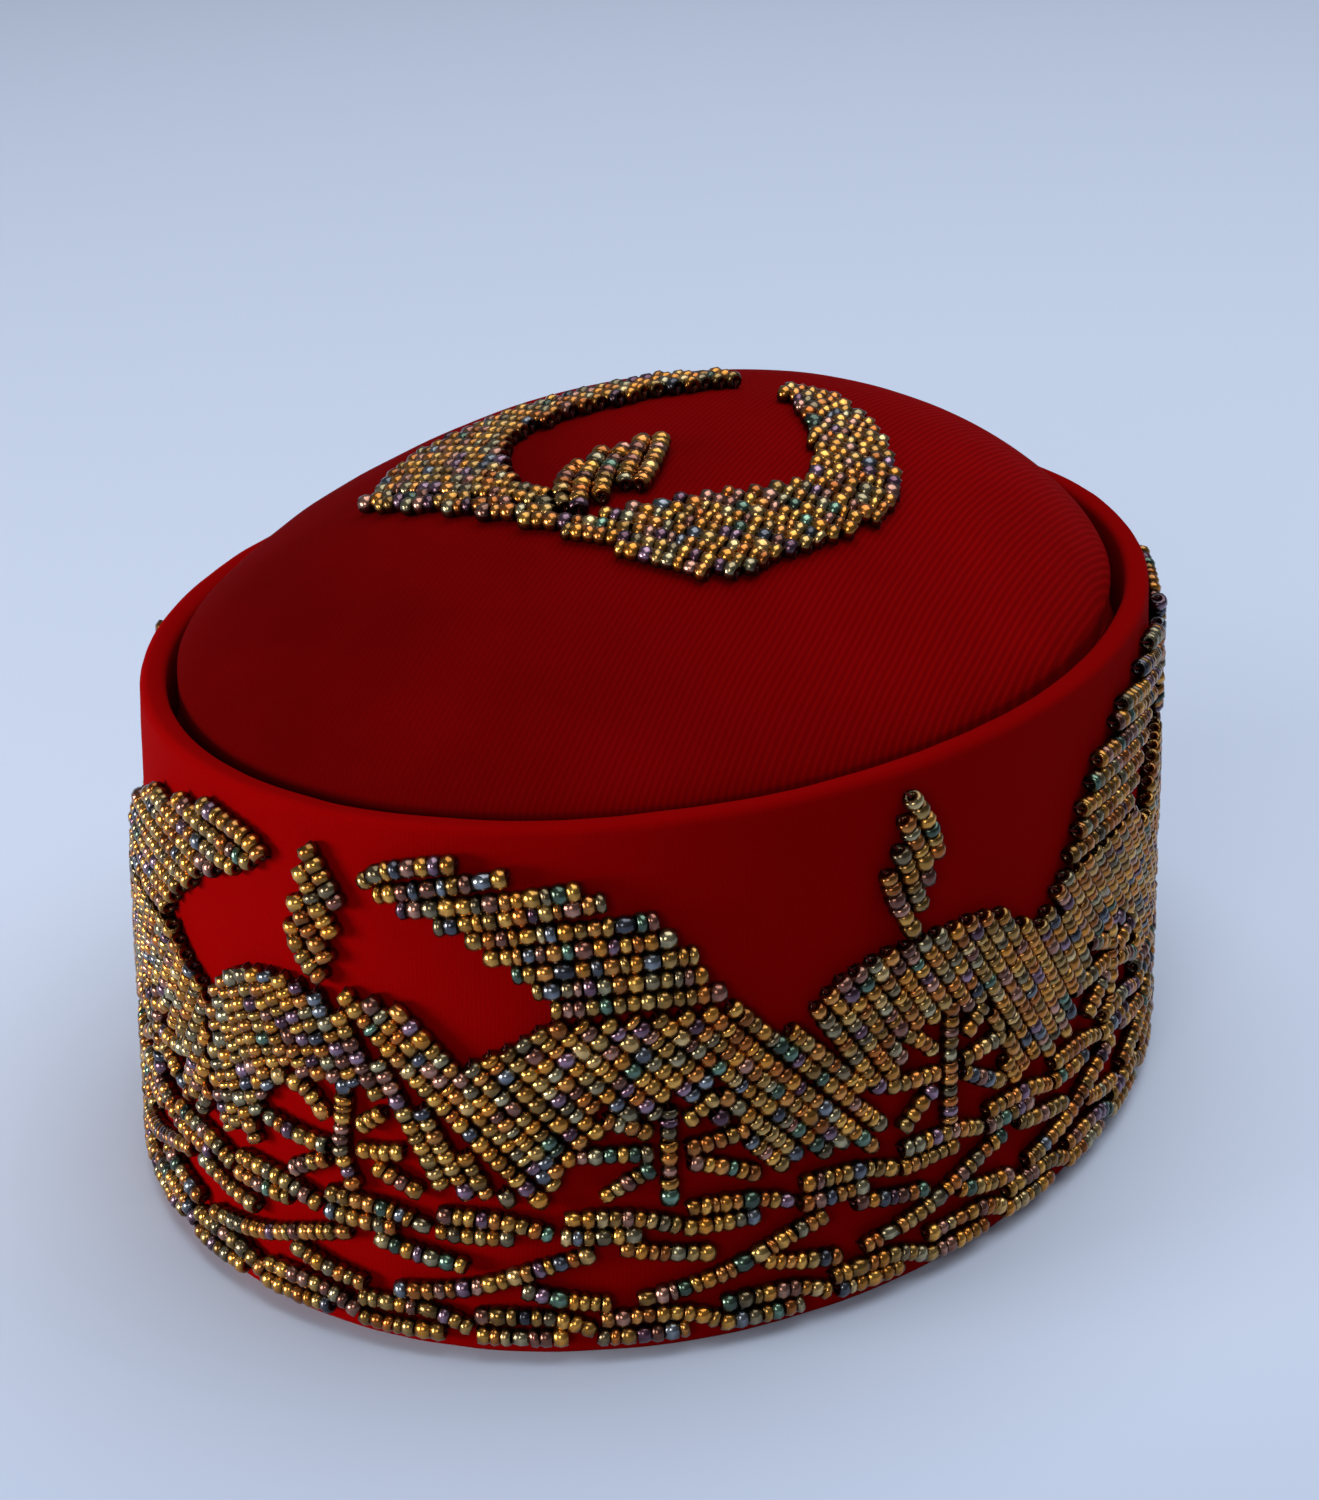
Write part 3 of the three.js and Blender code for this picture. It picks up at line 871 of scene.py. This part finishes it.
def layField():
    z = np.arange(fieldRows["top"], fieldRows["lowest"], -fieldRows["fineStep"])
    fallen = fieldRows["top"] - z

    def nearEdge(band):
        return band["start"] * chart["halfRepeat"] + fallen / math.tan(math.radians(band["edge"]))

    for band, following in zip(fieldBands, fieldBands[1:]):
        slope = math.radians(band["slope"])
        left = nearEdge(band) + fieldRows["clear"]
        right = nearEdge(following) - fieldRows["clear"]
        reach = fallen[-1] / abs(math.tan(slope))
        apart = fieldRows["apart"] / abs(math.sin(slope))
        for line in np.arange(left.min() - reach, right.max() + reach, apart):
            s = line + fallen / math.tan(slope + draws.normal(0, fieldRows["tilt"]))
            lowest = fieldEdge["bottom"] + draws.uniform(*fieldEdge["ragged"])
            keep = inField(s, z, lowest) & (s > left) & (s < right)
            for first, last in stretches(keep):
                if z[first] - z[last] < fieldRows["shortest"]:
                    continue
                middle = (first + last) // 2
                bowed = s[middle] + draws.normal(0, fieldRows["bend"])
                path = [(s[first], z[first]), (bowed, z[middle]), (s[last], z[last])]
                layString(pieceAlong("fieldBeads", s[middle]), "wall", path)


def layNet(begin, rows, wander):
    for row in rows:
        path = moved(row, begin, draws.normal(0, wander, 2))
        layString(pieceAlong("netBeads", begin), "wall", path)


def layBand():
    half = chart["halfRepeat"]
    for repeat in range(chart["halfRepeats"] // 2):
        number = repeat + 1
        base = 2 * half * repeat - chart["front"]
        mirror = 2 * half * repeat + chart["front"]
        for row in wingRows:
            layString(f"wingRightBeads{number}", "wall", moved(row, base))
            layString(f"wingLeftBeads{number}", "wall", [(mirror - s, z) for s, z in row])
        for row in frontLeafStrings:
            layString(f"leafFrontBeads{number}", "wall", moved(row, base), bead["leafGrown"])
        for row in sideLeafStrings:
            layString(f"leafSideBeads{number}", "wall", moved(row, base + half), bead["leafGrown"])
    for index in range(stems["count"]):
        middle, window = windowAt(index)
        for row in window["strings"]:
            layString(pieceAlong("fieldBeads", middle), "wall", moved(row, middle))
    layField()
    for index in range(stitch["count"]):
        layNet(stitch["topFirst"] + index * stitch["apart"], topStrings, stitch["wander"])
        layNet(stitch["hemFirst"] + index * stitch["apart"], hemStrings, stitch["wander"])
    for index in range(wave["count"]):
        layNet(wave["first"] + index * wave["apart"], waveStrings, wave["wander"])


# The crown's crescent: its arms' edges by how far back they are, in chart steps of the crown
crescentEdges = {
    "back": [-39, -38, -36, -34, -31, -28, -25, -22, -18, -14, -10, -6, -2, 2, 6, 10, 14, 18, 22, 25, 28, 30],
    "leftOuter": [10, 0, -30, -37.5, -35.5, -37, -37.5, -38.5, -38.5, -38, -36.5,
                  -34.5, -32, -29.5, -26.5, -23.5, -20.5, -17, -13.5, -10.5, -5, -1],
    "leftInner": [7, 7, 7, 7, 5, -8.5, -13, -16, -19, -20.5, -21,
                  -21, -19.5, -17.5, -15, -12, -9, -6, -2.5, 0, 2.5, 3],
    "rightInner": [6, 6, 6, 6, 8, 11, 14, 17, 20, 23.5, 26.5,
                   28.5, 28, 27, 25, 22, 19.5, 17, 12, 9, 9, 12],
    "rightOuter": [24, 28, 32, 33, 34.5, 35.5, 37, 38.5, 40, 41, 42,
                   43, 43, 42.5, 41, 38.5, 36, 33, 29, 25, 20, 14],
}
# Rows of the foot rise from its left end, cross to the right arm and go on up it; the left arm's rows fan out
crescentRows = {
    "widest": 46,
    "fineStep": 0.25,
    "apart": 2.6,
    "clear": 0.35,
    "shortest": 1.5,
    "wander": 0.4,
    "beyond": 6,  # the last rows start behind the crescent and slope down into it
    "knee": 9,
    "footFirst": -39.6,
    "footSlope": 0.27,
    "rightSlope": [0.12, 0.1, 0.22],
    "rightAt": [-40, -20, 0],
    "armPivot": -26,
    "armFirst": -30.4,
    "armSlope": [-0.08, -0.3],
    "armAt": [-30, -6],
    "armFrom": -31.2,  # the arm's own rows begin here
    "armFall": 0.06,
    "armUntil": 5,
}
crownLeafStrings = [
    [(0.9, -32.5), (-2.1, -27.8), (-3.8, -23.1), (-3.1, -19.8)],
    [(3.9, -32.5), (1.2, -27.8), (-0.9, -21.8), (-2.4, -14)],
    [(5.1, -27.8), (3.1, -23.8), (1.3, -17.8), (0.4, -12)],
    [(6.3, -22.8), (4.8, -18.4), (2.9, -13), (1.4, -8)],
    [(8.8, -21.8), (7.7, -17), (5.9, -11), (3.7, -6)],
]


def layCrown():
    for row in crownLeafStrings:
        layString("crownLeafBeads", "crown", row, bead["crownLeafGrown"])
    rows = crescentRows
    edges = crescentEdges
    x = np.arange(-rows["widest"], rows["widest"], rows["fineStep"])
    farthest = edges["back"][-1] + rows["beyond"]

    def inCrescent(y):
        names = ("leftOuter", "leftInner", "rightInner", "rightOuter")
        leftOuter, leftInner, rightInner, rightOuter = (
            np.interp(y, edges["back"], edges[name]) for name in names
        )
        hole = (x > leftInner - rows["clear"]) & (x < rightInner + rows["clear"])
        whole = (x > leftOuter + rows["clear"]) & (x < rightOuter - rows["clear"])
        return whole & ~hole & (y > edges["back"][0]) & (y < edges["back"][-1])

    def layRow(y, keep):
        for first, last in stretches(keep):
            if x[last] - x[first] < rows["shortest"]:
                continue
            middle = (first + last) // 2
            ends = draws.normal(0, rows["wander"], 2)
            path = [(x[first] + ends[0], y[first]), (x[middle], y[middle]), (x[last] + ends[1], y[last])]
            layString("crescentBeads", "crown", path)

    def inArm(y):
        return (x < rows["armUntil"]) & (y > rows["armFrom"] - rows["armFall"] * (x - rows["armPivot"]))

    back = rows["armFirst"]
    while back < farthest:
        slope = np.interp(back, rows["armAt"], rows["armSlope"])
        y = back + slope * (x - rows["armPivot"])
        layRow(y, inCrescent(y) & inArm(y))
        back += rows["apart"] * math.sqrt(1 + slope * slope)
    back = rows["footFirst"]
    while back < farthest:
        slope = np.interp(back, rows["rightAt"], rows["rightSlope"])
        y = back + np.where(x < rows["knee"], rows["footSlope"], slope) * (x - rows["knee"])
        layRow(y, inCrescent(y) & ~inArm(y + rows["apart"] / 2))
        back += rows["apart"] * math.sqrt(1 + slope * slope)


def beadColoursAndShade(rows):
    # a bead has its own lustre and a glint that winds round it, and painted shade at its ends and underneath
    shade = np.array([made["shade"] for made in rows])[:, None]
    phase = np.array([made["glint"] for made in rows])[:, None]
    base = np.array([lustres[made["lustre"]][0] for made in rows]) * shade
    glint = np.array([lustres[made["lustre"]][2] for made in rows]) * np.sqrt(shade)
    along, side, out = beadPoints.T
    wind = np.arctan2(out, side)[None] - phase + bead["glintTwist"] * along[None]
    play = ((0.5 + 0.5 * np.cos(wind)) ** 2)[..., None]
    # painted shade: darker where beads meet along the string and on the side towards the cloth
    depth = 1 - (1 - bead["endShade"]) * (2 * np.abs(along)) ** 2
    depth *= bead["underShade"] + (1 - bead["underShade"]) * np.clip(out + bead["litAbove"], 0, 1)
    colours = (base[:, None] * (1 - play) + glint[:, None] * play) * depth[None, :, None]
    return np.concatenate([colours.clip(0, 1), np.ones((len(rows), len(along), 1))], -1).reshape(-1, 4)


def makeBeads(name, node, materials):
    # all beads of a piece become one mesh, with the thread ends beside them
    rows = laid[name]
    middle, axes, length, radius = (
        np.array([made[key] for made in rows]) for key in ("middle", "axes", "length", "radius")
    )
    sized = beadPoints[None] * np.stack([length, radius, radius], -1)[:, None]
    points = (np.einsum("npk,nkc->npc", sized, axes) + middle[:, None]).reshape(-1, 3)
    firsts = len(beadPoints) * np.arange(len(rows))
    faces = (beadFaces[None] + firsts[:, None, None]).reshape(-1, 4)
    threadPoints, threadFaces = threadMesh(tails[name], len(points))
    points = np.concatenate([points, threadPoints])
    colours = np.concatenate([beadColoursAndShade(rows), np.tile(bead["threadColour"], (len(threadPoints), 1))])
    allFaces = np.concatenate([faces, threadFaces])
    mesh = bpy.data.meshes.new(name)
    mesh.vertices.add(len(points))
    mesh.vertices.foreach_set("co", points.astype(np.float32).ravel())
    mesh.loops.add(allFaces.size)
    mesh.loops.foreach_set("vertex_index", allFaces.astype(np.int32).ravel())
    mesh.polygons.add(len(allFaces))
    mesh.polygons.foreach_set("loop_start", np.arange(0, allFaces.size, 4, dtype=np.int32))
    mesh.update(calc_edges=True)
    coloured = mesh.attributes.new("beadColourAndShade", "FLOAT_COLOR", "POINT")
    coloured.data.foreach_set("color", colours.astype(np.float32).ravel())
    for material in materials:
        mesh.materials.append(material)
    slots = np.concatenate([np.zeros(len(faces), np.int32), np.ones(len(threadFaces), np.int32)])
    mesh.polygons.foreach_set("material_index", slots)
    mesh.shade_smooth()
    piece = bpy.data.objects.new(name, mesh)
    bpy.context.scene.collection.objects.link(piece)
    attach(piece, "root")
    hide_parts(node)
    return len(rows)


def threadMesh(lines, start):
    # four-sided thread through three points, closed at both ends
    points, faces = [], []
    for line in lines:
        first = start + len(points)
        for k, point in enumerate(line):
            ahead = line[min(k + 1, 2)] - line[max(k - 1, 0)]
            side = ahead.orthogonal().normalized() * bead["threadRadius"]
            over = ahead.normalized().cross(side)
            points += [point + side, point + over, point - side, point - over]
        for k in range(2):
            for i in range(4):
                j = (i + 1) % 4
                corner = first + 4 * k
                faces.append((corner + i, corner + j, corner + 4 + j, corner + 4 + i))
        faces.append((first + 3, first + 2, first + 1, first))
        faces.append((first + 8, first + 9, first + 10, first + 11))
    return np.array(points), np.array(faces)


# Floor, light and the photographer's place
studio = {
    "floorSize": 8,
    "floor": (0.54, 0.605, 0.74, 1),
    "nearFloorShade": (0.43, 0.5, 0.65, 1),  # painted shade: it darkens a little towards the viewer
    "nearRight": 4.2,
    "nearFront": 7.2,
    "nearFrom": 0.5,
    "aim": (0, 0, 0.05),
    "world": (0.66, 0.73, 0.86, 1),
    "worldStrength": 0.24,
    "key": {"at": (-0.76, -0.92, 0.08), "size": 0.5, "power": 22.0, "colour": (1.0, 0.97, 0.93)},
    "top": {"at": (0.2, 0.4, 2.0), "size": 2.3, "power": 46.0, "colour": (0.93, 0.965, 1.0)},
    "fill": {"at": (0.3, -1.4, 0.7), "size": 0.45, "power": 5.5, "colour": (1.0, 0.98, 0.95)},
}
viewpoint = {
    "azimuth": 30.0,
    "elevation": 24.129,
    "distance": 0.50405,
    "lens": 66.98,
    "roll": -0.484,
    "height": 0.04405,
    "aside": -0.00067,
    "raised": 0.012074,
}


def makeStudio():
    deselectAll()
    bpy.ops.mesh.primitive_plane_add(size=studio["floorSize"], location=(0, 0, 0))
    floor = bpy.context.object
    floor.name = "floor"
    shop = Shop("paleFloor", {"Roughness": 0.75, "Specular IOR Level": 0.2})
    right, back = shop.split(shop.node("ShaderNodeTexCoord", {}, {}, "Object"))
    # painted shade on the floor towards the viewer
    near = right * studio["nearRight"] - back * studio["nearFront"] - studio["nearFrom"]
    shop.feed("Base Color", shop.mix(near.clamped(), studio["floor"], studio["nearFloorShade"]))
    floor.data.materials.append(shop.material)
    world = bpy.data.worlds.new("studio")
    world.use_nodes = True
    background = world.node_tree.nodes["Background"]
    background.inputs["Color"].default_value = studio["world"]
    background.inputs["Strength"].default_value = studio["worldStrength"]
    bpy.context.scene.world = world
    for name in ("key", "top", "fill"):
        lamp = studio[name]
        light = bpy.data.lights.new(name, "AREA")
        light.size = lamp["size"]
        light.energy = lamp["power"]
        light.color = lamp["colour"]
        thing = bpy.data.objects.new(name, light)
        thing.location = lamp["at"]
        aim = Vector(studio["aim"]) - Vector(lamp["at"])
        thing.rotation_euler = aim.to_track_quat("-Z", "Y").to_euler()
        bpy.context.scene.collection.objects.link(thing)


def makeCamera():
    azimuth = math.radians(viewpoint["azimuth"])
    elevation = math.radians(viewpoint["elevation"])
    roll = math.radians(viewpoint["roll"])
    back = Vector((math.sin(azimuth) * math.cos(elevation), -math.cos(azimuth) * math.cos(elevation),
                   math.sin(elevation)))
    right = Vector((math.cos(azimuth), math.sin(azimuth), 0))
    up = back.cross(right)
    target = Vector((0, 0, viewpoint["height"])) + right * viewpoint["aside"] + up * viewpoint["raised"]
    rolledRight = right * math.cos(roll) + up * math.sin(roll)
    rolledUp = up * math.cos(roll) - right * math.sin(roll)
    turned = Matrix((rolledRight, rolledUp, back)).transposed().to_4x4()
    lens = bpy.data.cameras.new("camera")
    lens.lens = viewpoint["lens"]
    camera = bpy.data.objects.new("camera", lens)
    camera.matrix_world = Matrix.Translation(target + back * viewpoint["distance"]) @ turned
    bpy.context.scene.collection.objects.link(camera)
    bpy.context.scene.camera = camera


makeCamera()
makeStudio()
bpy.context.scene.view_settings.view_transform = "Standard"
print("camera, floor and lights are set")

makeBand(bandMaterial())
makeCrown(crownMaterial())
print("cloth is cut and sewn")

layCrown()
layBand()
repeated = {
    "fieldBeads": "bead_field",
    "wingLeftBeads": "wing_left",
    "wingRightBeads": "wing_right",
    "leafFrontBeads": "leaf_front",
    "leafSideBeads": "leaf_side",
}
materials = [beadMaterial(), threadMaterial()]
total = makeBeads("crescentBeads", "crown_crescent", materials)
total += makeBeads("crownLeafBeads", "crown_leaf", materials)
for number in (1, 2, 3):
    for name, node in repeated.items():
        total += makeBeads(f"{name}{number}", f"{node}_{number}", materials)
for number in (1, 2, 3, 4):
    total += makeBeads(f"netBeads{number}", f"bead_net_{number}", materials)
print(f"{total} beads on {stringCount[0]} strings")
